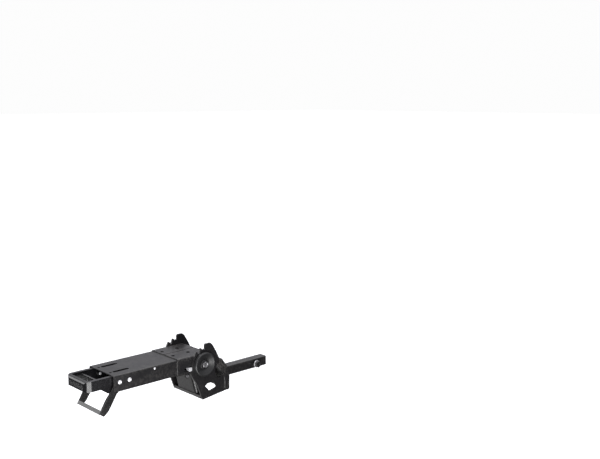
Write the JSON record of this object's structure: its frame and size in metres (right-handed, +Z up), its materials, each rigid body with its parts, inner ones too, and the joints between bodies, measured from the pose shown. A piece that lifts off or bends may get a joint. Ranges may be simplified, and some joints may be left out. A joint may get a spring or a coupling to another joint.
{
  "type": "hitch mounted bike rack",
  "caption": "Base of a hitch mounted bike rack: square receiver shank, toothed tilt bracket, fold-up box beam, sliding lock bar and release handle at the tongue.",
  "frame": {"origin": "centre of the hitch pin hole on the shank's axis", "axes": "+Y along the shank into the vehicle, +X to the vehicle's right, +Z up with the beam level"},
  "size_m": [0.177, 0.699, 0.1753],
  "materials": {
    "powder_coat": "satin black powder coat",
    "tongue_black": "gloss black",
    "handle_black": "satin black",
    "cap_black": "moulded satin black",
    "zinc": "bright zinc plate",
    "bolt_steel": "dull zinc plate",
    "strap_steel": "plain steel",
    "black_screw": "black oxide",
    "nylon": "natural nylon"
  },
  "bodies": {
    "hitch_bracket": {"receiver_shank": "powder_coat", "shank_nut": "zinc", "side_plate_left": "powder_coat", "side_plate_right": "powder_coat", "front_yoke": "powder_coat", "rear_channel": "powder_coat", "bottom_tie": "powder_coat", "pivot_bolt": "bolt_steel", "pivot_nut": "bolt_steel", "pivot_washers": "black_screw", "pivot_cap_left": "cap_black", "pivot_cap_right": "cap_black"},
    "beam": {"main_beam": "powder_coat", "pivot_sleeve": "powder_coat", "guide_tabs": "powder_coat", "pivot_tube": "powder_coat", "pivot_bushes": "nylon", "tongue_frame": "tongue_black", "tongue_crossbar": "tongue_black", "tongue_bolts": "zinc", "tongue_nuts": "black_screw", "tongue_spacers": "zinc", "handle_bolts": "zinc", "handle_nuts": "black_screw", "beam_screws": "zinc", "guide_screws": "bolt_steel"},
    "lock_bar": {"lock_bar": "zinc", "lock_springs": "zinc"},
    "pull_straps": {"pull_straps": "strap_steel"},
    "release_handle": {"release_handle": "handle_black", "link_pins": "zinc"},
    "hitch_bolt": {"hitch_bolt": "black_screw", "hitch_washer": "zinc"}
  },
  "joints": [
    {"name": "tilt", "type": "hinge", "parent": "hitch_bracket", "child": "beam", "pos_m": [0, -0.257, 0.068], "axis": [-1, 0, 0], "range_deg": [0, 95]},
    {"name": "lock_slide", "type": "slide", "parent": "beam", "child": "lock_bar", "axis": [0, -1, 0], "range_m": [0, 0.0126], "deforming": ["lock_springs"]},
    {"name": "strap_pull", "type": "slide", "parent": "beam", "child": "pull_straps", "axis": [0, -1, 0], "range_m": [0, 0.0098]},
    {"name": "handle_squeeze", "type": "hinge", "parent": "beam", "child": "release_handle", "pos_m": [0, -0.548, 0.0765], "axis": [-1, 0, 0], "range_deg": [0, 35], "stiffness_Nm_per_rad": 1, "springref_deg": -17.19},
    {"name": "hitch_bolt_draw", "type": "slide", "parent": "hitch_bracket", "child": "hitch_bolt", "axis": [1, 0, 0], "range_m": [0, 0.09]}
  ],
  "couplings": [
    {"joint": "lock_slide", "follows": "tilt", "m_per_rad": 0.0075},
    {"joint": "strap_pull", "follows": "handle_squeeze", "m_per_rad": 0.01596}
  ]
}
